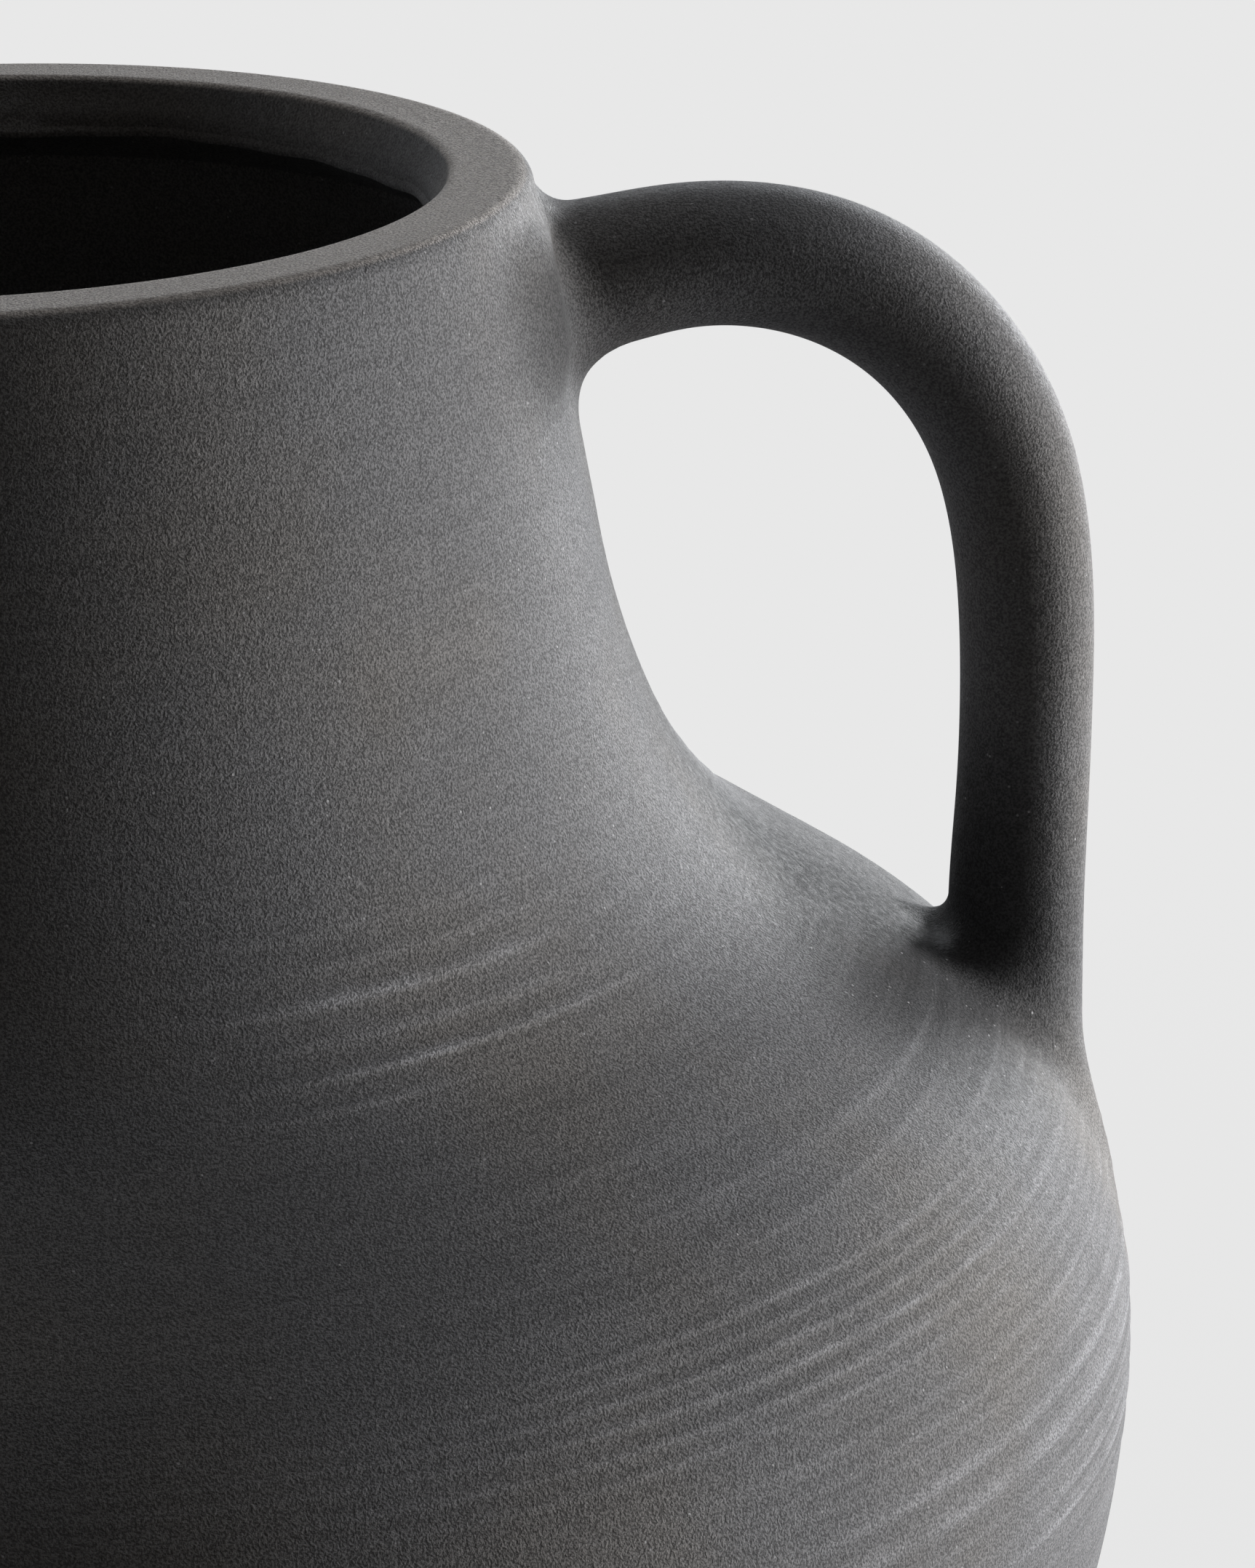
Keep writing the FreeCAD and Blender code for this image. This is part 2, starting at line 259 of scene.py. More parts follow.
# The ridge of smeared clay beside the handle's root, and its size on the side of -y and of +y.
SMEAR_HEIGHT = 2.4
SMEAR_SIDES = ((-1, 1.0), (1, 0.8))


def slow_relief(drop, azimuth):
    """The jar's slight ovalness, and the clay smeared along the neck on either side of the handle's root."""
    total = (OVAL * np.sin(2 * azimuth + 0.6) * smooth(20, 90, drop) - OVAL) * smooth(2, 12, drop)
    total = total - BELLY_INSET * smooth(110, 135, drop)
    wrapped = (azimuth + math.pi) % (2 * math.pi) - math.pi
    # The smear's rise goes by degrees from the handle's middle, and its length by drops.
    for sign, size in SMEAR_SIDES:
        angle = np.degrees(wrapped) * sign
        rise = (1 - smooth(15.5, 27, angle)) * (0.5 + 0.5 * smooth(8, 17, angle)) * smooth(-2, 5, angle)
        total = total + size * SMEAR_HEIGHT * rise * smooth(2.5, 8, drop) * (1 - smooth(19, 29, drop))
    return total


# A chart of the throwing lines near the handle, which is read for loose points.

CHART_STEP = 0.1
CHART_TURN = 0.5
CHART_DROPS = np.arange(0.0, 190.0, CHART_STEP)
CHART_AZIMUTHS = np.radians(np.arange(-75.0, 75.0, CHART_TURN))
CHART = line_heights(CHART_DROPS, CHART_AZIMUTHS)


def lines_at(drop, azimuth):
    """The throwing lines' height at loose points near the handle."""
    i = np.clip(drop / CHART_STEP, 0, len(CHART_DROPS) - 1.001)
    k = np.clip((azimuth - CHART_AZIMUTHS[0]) / math.radians(CHART_TURN), 0, len(CHART_AZIMUTHS) - 1.001)
    i0, k0 = i.astype(int), k.astype(int)
    a, b = i - i0, k - k0
    return (CHART[i0, k0] * (1 - a) * (1 - b) + CHART[i0 + 1, k0] * a * (1 - b)
            + CHART[i0, k0 + 1] * (1 - a) * b + CHART[i0 + 1, k0 + 1] * a * b)


def relief_at(drop, azimuth):
    """How far the clay stands proud of the smooth outline at loose points near the handle."""
    return lines_at(drop, azimuth) + slow_relief(drop, azimuth)


# Meshes.

STONEWARE = bpy.data.materials.new("stoneware")
# The crest height at which the painted highlight on the throwing lines is full.
FULL_CREST = 0.30


def finish_mesh(name, vertices, faces, normals=None, sharp_angle=40.0, lines=None):
    """A piece of clay. lines holds the throwing lines' height at each vertex, from which the shader paints a
    highlight on the crests.
    """
    mesh = bpy.data.meshes.new(name)
    mesh.from_pydata((np.asarray(vertices) / 1000.0).tolist(), [], faces)
    mesh.update()
    mesh.shade_smooth()
    if normals is None:
        mesh.set_sharp_from_angle(angle=math.radians(sharp_angle))
    else:
        mesh.normals_split_custom_set_from_vertices(np.asarray(normals).tolist())
    mesh.materials.append(STONEWARE)
    if lines is not None:
        crest = np.zeros(len(mesh.vertices))
        crest[:len(lines)] = np.clip(lines / FULL_CREST, 0.0, 1.2)
        mesh.attributes.new("crest", "FLOAT", "POINT").data.foreach_set("value", crest)
    piece = bpy.data.objects.new(name, mesh)
    bpy.context.scene.collection.objects.link(piece)
    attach(piece, "root")
    return piece


def turn_angles(columns):
    """A full turn's angles in radians, one for each column."""
    return np.arange(columns) * 2 * math.pi / columns


def revolve(radii, heights, azimuth):
    """Points of a grid of radii and heights with a column for each azimuth, row by row."""
    return np.stack([radii * np.cos(azimuth), radii * np.sin(azimuth), heights], axis=-1).reshape(-1, 3)


def ring_faces(rows, columns, wrap_rows):
    """Four-sided faces of a grid whose columns go round, and whose rows do too if wrap_rows."""
    faces = []
    for i in range(rows if wrap_rows else rows - 1):
        j = (i + 1) % rows
        for k in range(columns):
            n = (k + 1) % columns
            faces.append((i * columns + k, j * columns + k, j * columns + n, i * columns + n))
    return faces


def skin_grid(outer, azimuth):
    """Radii and heights of the skin with its relief, and the throwing lines' heights.

    The relief fades at the base, where the foot ring's joint is.
    """
    drop, heading = TOP - outer[:, 1:2], outer[:, 2:3]
    lines = line_heights(drop[:, 0], azimuth)
    lift = (lines + slow_relief(drop, azimuth[None, :])) * (1 - smooth(*BASE_FADE, drop))
    return outer[:, 0:1] + lift * np.cos(heading), outer[:, 1:2] + lift * np.sin(heading), lines


def lathe(name, node, outer, rest, wobble=None):
    """A thrown ring. outer are rows of the skin, and rest the (radius, height) rows that close the loop."""
    azimuth = turn_angles(AROUND)
    skin_r, skin_h, lines = skin_grid(outer, azimuth)
    rest = np.asarray(rest, float)
    rest_r = np.repeat(rest[:, 0:1], AROUND, axis=1)
    rest_h = np.repeat(rest[:, 1:2], AROUND, axis=1)
    if wobble is not None:
        shift_r, shift_h = wobble(rest_r, rest_h, azimuth[None, :])
        rest_r, rest_h = rest_r + shift_r, rest_h + shift_h
    points = revolve(np.vstack([skin_r, rest_r]), np.vstack([skin_h, rest_h]), azimuth)
    faces = ring_faces(len(outer) + len(rest), AROUND, wrap_rows=True)
    piece = finish_mesh(name, points, faces, lines=lines.ravel())
    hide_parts(node)


def cross_joint(drop):
    """The tongue joint across the wall at a drop of the skin: its ridge and its inner end."""
    row = outer_points(length_at([drop]))[0]
    inward = np.array([-math.cos(row[2]), -math.sin(row[2])])
    upward = np.array([-math.sin(row[2]), math.cos(row[2])])
    return row[:2] + inward * WALL / 2 + upward * TONGUE, row[:2] + inward * WALL


# The lip.

LIP_TONGUE = (RIM_RADIUS - WALL / 2 + 2.0, TOP - LIP_HEIGHT + TONGUE)
LIP_LEDGE = (LEDGE_RADIUS, TOP - LIP_HEIGHT)
LEDGE_RISE = 4.4
THROAT_TURN = 130
BAND_HEIGHT = LIP_BAND - THROAT_ROUND - MOUTH_ROUND * 1.2


def lip_wobble(radius, height, azimuth):
    """The throat's soft uneven edge and the slight waves of the flat rim."""
    across = ((radius - THROAT_RADIUS) / 1.2) ** 2
    along = ((height - TOP + LIP_BAND) / 2.0) ** 2
    near_throat = np.exp(-across) * np.exp(-along)
    wave = 0.22 * np.sin(7 * azimuth + 0.8) + 0.16 * np.sin(13 * azimuth) + 0.10 * np.sin(29 * azimuth + 2)
    flat = smooth(TOP - 0.5, TOP, height)
    dish = -0.05 * flat * (1 + np.sin(3 * azimuth + 1.2)) * smooth(MOUTH_RADIUS, MOUTH_RADIUS + 4, radius)
    return near_throat * wave, near_throat * wave * 0.8 + dish


def lip_rows():
    """The lip's loop after its outer wall: joint, ledge, throat, the band of the mouth and the flat top."""
    rows = [LIP_TONGUE, LIP_LEDGE]
    # The ledge, which rises from the wall's inside to the throat.
    ledge_width = THROAT_RADIUS + 0.8 - LEDGE_RADIUS
    for q in (0.35, 0.7, 0.92, 1.0):
        rows.append((LEDGE_RADIUS + ledge_width * q, TOP - LIP_HEIGHT + LEDGE_RISE * q))
    # The throat's rounded edge, and the band above it.
    for q in np.linspace(0, 1, 5)[1:]:
        turn = math.radians(THROAT_TURN) * (q - 0.5)
        rows.append((THROAT_RADIUS + THROAT_ROUND * (1 - math.cos(turn)),
                     TOP - LIP_BAND + THROAT_ROUND * math.sin(turn)))
    for q in (0.25, 0.5, 0.75, 1.0):
        rows.append((THROAT_RADIUS + (MOUTH_RADIUS - THROAT_RADIUS) * q,
                     TOP - LIP_BAND + THROAT_ROUND + BAND_HEIGHT * q))
    # The mouth's rounded edge, the flat top and the round down to the outer wall.
    for q in np.linspace(0, 1, 7)[1:]:
        angle = math.radians(160 - 70 * q)
        rows.append((MOUTH_RADIUS + MOUTH_ROUND + 0.08 + MOUTH_ROUND * math.cos(angle),
                     TOP - MOUTH_ROUND + MOUTH_ROUND * math.sin(angle)))
    edge = LENGTHS[OUTER_START]
    for first, last in ((0.4, edge - 4.2), (edge - 3.7, edge - 0.3)):
        rows += [(row[0], row[1]) for row in outer_points(np.linspace(first, last, 12))]
    return rows


# The thrown sections.

SHOULDER_RIDGE, SHOULDER_INNER = cross_joint(SHOULDER_DROP)
BELLY_RIDGE, BELLY_INNER = cross_joint(BELLY_DROP)
BASE_SKIN = outer_points(fine_rows(BELLY_DROP, TOP - FOOT_HEIGHT))
BASE_RADIUS = BASE_SKIN[-1, 0]
# The joint with the foot ring is wider than the others.
BASE_TONGUE = [(BASE_RADIUS - 7.0, FOOT_HEIGHT + TONGUE), (BASE_RADIUS - 14.0, FOOT_HEIGHT)]
# The floor's upper face: rings on its flat part, the radius where that ends, and the radius that its rounded
# corner reaches towards, with the height at which the corner has become the wall.
FLOOR_RINGS = (14.0, 35.0)
FLAT_RADIUS = 59.5
CORNER_RADIUS = 74.0
CORNER_HEIGHT = 22
UNDER_RINGS = (30.0, 1.0)


def lip_ring():
    outer = outer_points(fine_rows(TOP - SKIN[OUTER_START, 1], LIP_HEIGHT))
    lathe("lip_ring_looks", "lip_ring", outer, lip_rows(), wobble=lip_wobble)


def neck():
    outer = outer_points(fine_rows(LIP_HEIGHT, SHOULDER_DROP))
    inside = inner_points(LIP_HEIGHT + 1.4, SHOULDER_DROP)
    lathe("neck_looks", "neck", outer,
          [SHOULDER_RIDGE, SHOULDER_INNER, *inside[1:, :2], LIP_LEDGE, LIP_TONGUE])


def upper_body():
    outer = outer_points(fine_rows(SHOULDER_DROP, BELLY_DROP))
    inside = inner_points(SHOULDER_DROP, BELLY_DROP)
    lathe("upper_body_looks", "upper_body", outer,
          [BELLY_RIDGE, BELLY_INNER, *inside[1:-1, :2], SHOULDER_INNER, SHOULDER_RIDGE])


def lower_body():
    """Floor, inside, joint, outside and underside in one run, and a pole in the middle of each floor face."""
    azimuth = turn_angles(AROUND)
    inside = inner_points(BELLY_DROP, TOP - FLOOR_LEVEL - CORNER_HEIGHT)[:, :2]
    start, middle = np.array([FLAT_RADIUS, FLOOR_LEVEL]), np.array([CORNER_RADIUS, FLOOR_LEVEL])
    corner = [(1 - q) ** 2 * start + 2 * q * (1 - q) * middle + q * q * inside[0]
              for q in np.linspace(0, 1, 9)[1:-1]]
    floor_rows = [(radius, FLOOR_LEVEL) for radius in FLOOR_RINGS]
    before = np.array([*floor_rows, *corner, *inside[:-1], BELLY_INNER, BELLY_RIDGE])
    after = np.array([*BASE_TONGUE, *((radius, FOOT_HEIGHT) for radius in UNDER_RINGS)])
    skin_r, skin_h, lines = skin_grid(BASE_SKIN, azimuth)
    spread = np.ones((1, AROUND))
    grid_r = np.vstack([before[:, 0:1] * spread, skin_r, after[:, 0:1] * spread])
    grid_h = np.vstack([before[:, 1:2] * spread, skin_h, after[:, 1:2] * spread])
    points = np.vstack([revolve(grid_r, grid_h, azimuth), [[0, 0, FLOOR_LEVEL]], [[0, 0, FOOT_HEIGHT]]])
    faces = ring_faces(len(grid_r), AROUND, wrap_rows=False)
    last = (len(grid_r) - 1) * AROUND
    for k in range(AROUND):
        n = (k + 1) % AROUND
        faces.append((len(points) - 2, k, n))
        faces.append((len(points) - 1, last + n, last + k))
    lines = np.vstack([np.zeros((len(before), AROUND)), lines])
    piece = finish_mesh("lower_body_looks", points, faces, lines=lines.ravel())
    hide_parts("lower_body")


def foot_ring():
    """The foot ring, with its tongue in the base and worn round edges."""
    azimuth = turn_angles(AROUND // 2)
    rows = [(BASE_RADIUS, FOOT_HEIGHT), *BASE_TONGUE, (FOOT_INNER, FOOT_ROUND + 0.4)]
    for centre, first, last in ((FOOT_INNER + FOOT_ROUND, 180, 270), (FOOT_OUTER - FOOT_ROUND, 270, 372)):
        for angle in np.radians(np.linspace(first, last, 8)):
            rows.append((centre + FOOT_ROUND * math.cos(angle), FOOT_ROUND + FOOT_ROUND * math.sin(angle)))
    rows = np.array(rows)
    spread = np.ones((1, len(azimuth)))
    points = revolve(rows[:, 0:1] * spread, rows[:, 1:2] * spread, azimuth)
    faces = [face[::-1] for face in ring_faces(len(rows), len(azimuth), wrap_rows=True)]
    piece = finish_mesh("foot_ring_looks", points, faces)
    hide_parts("foot_ring")


lip_ring()
neck()
upper_body()
lower_body()
foot_ring()

# The handle: stations along the strap's middle with x, drop, thickness and depth.

STRAP = [
    (68.0, 17.3, 19.8, 22.6),
    (76.0, 16.9, 19.7, 22.6),
    (84.7, 15.6, 19.0, 22.2),
    (93.8, 14.1, 18.3, 21.8),
    (104.9, 14.4, 18.3, 21.6),
    (114.7, 17.2, 18.55, 21.6),
    (123.5, 22.6, 18.5, 21.6),
    (130.7, 30.4, 18.35, 21.6),
    (135.6, 39.5, 18.25, 21.4),
    (138.4, 50.0, 18.0, 21.2),
    (139.7, 64.3, 17.6, 21.0),
    (139.7, 77.1, 17.3, 21.0),
    (139.2, 90.0, 17.4, 21.2),
    (138.6, 100.2, 17.75, 21.6),
    (138.3, 112.0, 17.9, 22.0),
    (138.2, 126.0, 17.9, 22.4),
    (138.2, 140.0, 17.9, 22.4),
]
# The section's corners are a little fuller than an ellipse's, whose power is 2.
SECTION_POWER = 2.2
PATH_STEP = 0.25
STRAP_COLUMNS = 96
# The strap's ends inside the wall. The lower one is cut along the shoulder's slope.
ROOT_X = 71.5
FOOT_DROP = 124.5
FOOT_SLANT = 1.02
FOOT_CAP = (138.2, TOP - FOOT_DROP)
CAP_NORMAL = np.array([-0.72, -0.69])


def spline(stations, step):
    """Stations joined by a natural cubic spline, sampled at even distances."""
    stations = np.array(stations, float)
    knots = np.concatenate([[0.0], np.cumsum(np.hypot(*np.diff(stations[:, :2], axis=0).T))])
    n = len(knots)
    gap = np.diff(knots)
    matrix, right = np.eye(n), np.zeros_like(stations)
    for i in range(1, n - 1):
        matrix[i, i - 1:i + 2] = gap[i - 1], 2 * (gap[i - 1] + gap[i]), gap[i]
        after, before = stations[i + 1] - stations[i], stations[i] - stations[i - 1]
        right[i] = 6 * (after / gap[i] - before / gap[i - 1])
    bend = np.linalg.solve(matrix, right)
    at = np.linspace(0, knots[-1], int(knots[-1] / step) + 1)
    i = np.clip(np.searchsorted(knots, at) - 1, 0, n - 2)
    g, a, b = gap[i][:, None], ((knots[i + 1] - at) / gap[i])[:, None], ((at - knots[i]) / gap[i])[:, None]
    bow = ((a ** 3 - a) * bend[i] + (b ** 3 - b) * bend[i + 1]) * g * g / 6
    return a * stations[i] + b * stations[i + 1] + bow


PATH = spline(STRAP, PATH_STEP)
PATH_POINTS = np.stack([PATH[:, 0], TOP - PATH[:, 1]], axis=1)
TANGENTS = np.gradient(PATH_POINTS, axis=0)
TANGENTS /= np.linalg.norm(TANGENTS, axis=1)[:, None]
OUTWARD = np.stack([-TANGENTS[:, 1], TANGENTS[:, 0]], axis=1)


def row_at_x(x):
    """The path's row at this x, on the stretch that leaves the neck."""
    return int(np.abs(PATH[:len(PATH) // 3, 0] - x).argmin())


def row_at_drop(drop):
    """The path's row at this drop, on the stretch that comes down to the shoulder."""
    return int(len(PATH) // 2 + np.abs(PATH[len(PATH) // 2:, 1] - drop).argmin())


def section(index, theta):
    """Offsets (out of the arch, along y) of the strap's soft-cornered section."""
    half_a = PATH[index, 2] / 2
    half_b = PATH[index, 3] / 2
    c, s = np.cos(theta), np.sin(theta)
    corner = (np.abs(c) / half_a) ** SECTION_POWER + (np.abs(s) / half_b) ** SECTION_POWER
    reach = corner ** (-1 / SECTION_POWER)
    return reach * c, reach * s


def strap_point(index, theta):
    """A point of the strap's surface. index may be fractional."""
    low = np.clip(np.floor(index).astype(int), 0, len(PATH) - 2)
    share = np.clip(index - low, 0, 1)
    ends = []
    for i in (low, low + 1):
        a, b = section(i, theta)
        x, z = PATH_POINTS[i, 0] + OUTWARD[i, 0] * a, PATH_POINTS[i, 1] + OUTWARD[i, 1] * a
        ends.append(np.stack([x, b, z], -1))
    return ends[0] * (1 - share[..., None]) + ends[1] * share[..., None]


# Distances to the strap and to the wall, from which the coils at the handle's ends are shaped.

CHUNK = 4096


def nearest(points, candidates):
    """The index of the nearest candidate for each point, found for a chunk of points at a time."""
    best = np.empty(len(points), int)
    for start in range(0, len(points), CHUNK):
        part = points[start:start + CHUNK]
        away = (part[:, 0:1] - candidates[:, 0]) ** 2 + (part[:, 1:2] - candidates[:, 1]) ** 2
        best[start:start + CHUNK] = away.argmin(1)
    return best


def strap_gap(points, path_rows):
    """About how far points lie from the strap's surface on a stretch of its path, negative inside."""
    flat = points[:, [0, 2]]
    rows = np.arange(path_rows[0], path_rows[1], 2)
    best = rows[nearest(flat, PATH_POINTS[rows])]
    offset = flat - PATH_POINTS[best]
    a = (offset * OUTWARD[best]).sum(-1)
    b = points[:, 1]
    half_a, half_b = PATH[best, 2] / 2, PATH[best, 3] / 2
    corner = (np.abs(a) / half_a) ** SECTION_POWER + (np.abs(b) / half_b) ** SECTION_POWER
    scale = corner ** (1 / SECTION_POWER)
    across = np.hypot(a, b) * (1 - 1 / np.maximum(scale, 1e-6))
    beyond = ((flat - FOOT_CAP) * CAP_NORMAL).sum(-1)
    outside = np.hypot(np.maximum(across, 0), np.maximum(beyond, 0))
    return np.where((across > 0) | (beyond > 0), outside, np.maximum(across, beyond))


def wall_gap(points, skin_rows):
    """How far points lie from the wall's outer surface, relief included, negative inside."""
    flat = np.stack([np.hypot(points[:, 0], points[:, 1]), points[:, 2]], axis=1)
    row = skin_rows[nearest(flat, skin_rows)]
    offset = flat - row[:, :2]
    gap = offset[:, 0] * np.cos(row[:, 2]) + offset[:, 1] * np.sin(row[:, 2])
    return gap - relief_at(TOP - row[:, 1], np.arctan2(points[:, 1], points[:, 0]))


def unit(vectors):
    """The vectors' directions."""
    return vectors / np.linalg.norm(vectors, axis=1)[:, None]


def gradient(field, points, reach=0.15):
    """The direction in which a distance grows fastest at these points, as unit vectors."""
    result = np.empty_like(points)
    for axis in range(3):
        shift = np.zeros(3)
        shift[axis] = reach
        result[:, axis] = field(points + shift) - field(points - shift)
    return result / np.maximum(np.linalg.norm(result, axis=1), 1e-9)[:, None]


def smooth_round(values, rounds=6):
    """Values round a ring, evened out but never lowered by much."""
    for _ in range(rounds):
        values = np.maximum(values, (np.roll(values, 1) + values * 2 + np.roll(values, -1)) / 4)
    return values


# The coils at the handle's ends, as collars on the smooth union of wall and strap.

COIL_COLUMNS = 144
WALL_ROWS = 20
STRAP_ROWS = 16
HALVINGS = 24
TRAIL_STEPS = 110
TRAIL_PACE = 0.5
SHORTEST_TRAIL = 8
SHORTEST_REACH = 4.0
REACH_STEPS = 200
# How far beyond the blend a collar ends.
CLEARANCE = 0.6
SETTLE_ROUNDS = 7
SETTLE_STEP = 1.2


def find_junction(wall, theta, first, last):
    """Path rows where the strap's lines meet the wall. Row first lies inside it and row last outside."""
    low, high = np.full(len(theta), float(first)), np.full(len(theta), float(last))
    for _ in range(HALVINGS):
        middle = (low + high) / 2
        inside = wall(strap_point(middle, theta)) < 0
        low, high = np.where(inside, middle, low), np.where(inside, high, middle)
    return middle


def rows_on_strap(wall, fillet, theta, start, way):
    """Rows along the strap, from the junction to where the blend has ended."""
    reach = np.maximum(fillet(strap_point(start, theta)) * 1.35, SHORTEST_REACH)
    for _ in range(REACH_STEPS):
        ahead = strap_point(start + way * reach / PATH_STEP, theta)
        short = wall(ahead) < fillet(ahead) + CLEARANCE
        if not short.any():
            break
        reach = reach + 0.4 * short
    reach = smooth_round(reach)
    shares = np.linspace(0, 1, STRAP_ROWS + 1)
    return [strap_point(start + way * reach * q / PATH_STEP, theta) for q in shares]


def rows_on_wall(wall, strap, fillet, junction):
    """Rows along the wall, from where the blend has ended to just beside the junction."""
    heading = gradient(strap, junction + gradient(strap, junction) * 0.3)
    trail, here = [junction], junction.copy()
    for _ in range(TRAIL_STEPS):
        normal = gradient(wall, here)
        heading = unit(heading - (heading * normal).sum(1)[:, None] * normal)
        here = here + heading * TRAIL_PACE
        for _ in range(2):
            here = here - wall(here)[:, None] * gradient(wall, here)
        trail.append(here)
    trail = np.array(trail)
    clear = np.array([strap(row) > fillet(row) + CLEARANCE for row in trail])
    reach = smooth_round(np.maximum(clear.argmax(0), SHORTEST_TRAIL).astype(float))
    rows, k = [], np.arange(len(junction))
    for q in np.linspace(0, 1, WALL_ROWS + 1)[1:]:
        at = reach * q
        i = np.clip(at.astype(int), 0, len(trail) - 2)
        share = (at - i)[:, None]
        rows.append(trail[i, k] * (1 - share) + trail[i + 1, k] * share)
    return rows[::-1]


def hidden_rows(edge, beside, normal):
    """Two rows past a collar's edge: one just under the surface, and one deeper in the clay."""
    along = unit(edge - beside)
    dipped = edge + along * 0.5 - normal * 0.35
    return dipped, dipped - normal * 1.8 - along * 1.5


def coil(name, node, first, last, fillet, skin_rows, path_rows):
    """The clay pressed round an end of the strap.

    first and last are path rows, inside the wall and well outside it. fillet gives the blend's width at
    points. skin_rows and path_rows are the stretches of wall and strap that lie near.
    """
    def wall(points):
        return wall_gap(points, skin_rows)

    def strap(points):
        return strap_gap(points, path_rows)

    def union(points):
        to_wall, to_strap, width = wall(points), strap(points), fillet(points)
        close = np.maximum(width - np.abs(to_wall - to_strap), 0) / width
        return np.minimum(to_wall, to_strap) - close ** 2 * width / 4

    theta = turn_angles(COIL_COLUMNS)
    start = find_junction(wall, theta, first, last)
    junction = strap_point(start, theta)
    way = 1.0 if last > first else -1.0
    strap_side = rows_on_strap(wall, fillet, theta, start, way)
    grid = np.array(rows_on_wall(wall, strap, fillet, junction) + strap_side)
    shape = grid.shape
    flat = grid.reshape(-1, 3)
    for _ in range(SETTLE_ROUNDS):
        flat = flat - np.clip(union(flat), -SETTLE_STEP, SETTLE_STEP)[:, None] * gradient(union, flat)
    normals = gradient(union, flat).reshape(shape)
    grid = flat.reshape(shape)

    # The collar's hidden back: both edges dip under the surfaces, then meet inside the clay.
    wall_dip, wall_deep = hidden_rows(grid[0], grid[1], normals[0])
    strap_dip, strap_deep = hidden_rows(grid[-1], grid[-2], normals[-1])
    inward = unit(gradient(wall, junction) + gradient(strap, junction))
    grid = np.concatenate([[wall_deep, wall_dip], grid, [strap_dip, strap_deep, junction - inward * 3.0]])
    normals = np.concatenate([[normals[0]] * 2, normals, [normals[-1]] * 2, [inward]])
    points, normals = grid.reshape(-1, 3), normals.reshape(-1, 3)

    faces = ring_faces(len(grid), COIL_COLUMNS, wrap_rows=True)
    sample = faces[len(faces) // 2]
    a, b, c = (points[index] for index in sample[:3])
    if np.dot(np.cross(b - a, c - a), normals[sample[0]]) < 0:
        faces = [face[::-1] for face in faces]
    on_wall = 1 - smooth(0.3, 2.0, wall(points))
    lines = on_wall * lines_at(TOP - points[:, 2], np.arctan2(points[:, 1], points[:, 0]))
    piece = finish_mesh(name, points, faces, normals=normals, lines=lines)
    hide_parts(node)


# For each coil: the strap's rows deep in the wall and clear of it, between which the junction is looked for,
# and the stretches of strap and wall that lie near.
ROOT_CLEAR_X = 98
ROOT_STRAP_END_X = 118
ROOT_WALL_ROWS = 150
FOOT_DEEP_DROP, FOOT_CLEAR_DROP = 139.5, 92
FOOT_STRAP_START_DROP = 60
FOOT_WALL_DROPS = (75, 190)
# Every fourth row of the skin is enough for distances to the wall, and every second round the rim.
WALL_STRIDE, RIM_STRIDE = 4, 2
ROOT_FILLET = 4.6
FOOT_FILLET = 5.0


def root_fillet(points):
    """Tight above the strap, twice as wide below it."""
    return ROOT_FILLET + ROOT_FILLET * (1 - smooth(TOP - 27, TOP - 8, points[:, 2]))


def foot_fillet(points):
    """Tight on the neck's side, twice as wide under the front and back of the strap."""
    return FOOT_FILLET + FOOT_FILLET * smooth(0, 11, np.abs(points[:, 1]))


def neck_coil():
    rim, neck_wall = SKIN[:OUTER_START:RIM_STRIDE], SKIN[OUTER_START::WALL_STRIDE][:ROOT_WALL_ROWS]
    coil("handle_neck_coil_looks", "handle_neck_coil", row_at_x(ROOT_X), row_at_x(ROOT_CLEAR_X), root_fillet,
         np.vstack([rim, neck_wall]), (0, row_at_x(ROOT_STRAP_END_X)))


def shoulder_coil():
    drops = TOP - SKIN[:, 1]
    near = (drops > FOOT_WALL_DROPS[0]) & (drops < FOOT_WALL_DROPS[1])
    coil("handle_shoulder_coil_looks", "handle_shoulder_coil", row_at_drop(FOOT_DEEP_DROP),
         row_at_drop(FOOT_CLEAR_DROP), foot_fillet, SKIN[near][::WALL_STRIDE],
         (row_at_drop(FOOT_STRAP_START_DROP), len(PATH)))


def handle():
    """The strap itself, with both ends closed inside the wall. The lower end slants with the shoulder."""
    theta = turn_angles(STRAP_COLUMNS)
    rows = []
    for index in range(row_at_x(ROOT_X), row_at_drop(FOOT_DROP) + 1, 3):
        points = strap_point(np.full(STRAP_COLUMNS, float(index)), theta)
        a, _ = section(np.full(STRAP_COLUMNS, index), theta)
        slant = FOOT_SLANT * smooth(96, FOOT_DROP, PATH[index, 1])
        points[:, 0] += a * slant * TANGENTS[index, 0]
        points[:, 2] += a * slant * TANGENTS[index, 1]
        rows.append(points)
    grid = np.array(rows)
    points = grid.reshape(-1, 3)
    faces = ring_faces(len(grid), STRAP_COLUMNS, wrap_rows=False)
    for row, reverse in ((0, False), (len(grid) - 1, True)):
        pole = len(points)
        points = np.vstack([points, grid[row].mean(0)[None]])
        for k in range(STRAP_COLUMNS):
            a, b = row * STRAP_COLUMNS + k, row * STRAP_COLUMNS + (k + 1) % STRAP_COLUMNS
            faces.append((pole, b, a) if reverse else (pole, a, b))
    piece = finish_mesh("handle_looks", points, faces)
    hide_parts("handle")


neck_coil()
shoulder_coil()
handle()

# Shader nodes.


def math_node(tree, operation, first, second=None):
    node = tree.nodes.new("ShaderNodeMath")
    node.operation = operation
    for number, value in enumerate((first, second)):
        if value is None:
            continue
        if isinstance(value, (int, float)):
            node.inputs[number].default_value = value
        else:
            tree.links.new(value, node.inputs[number])
    return node.outputs[0]


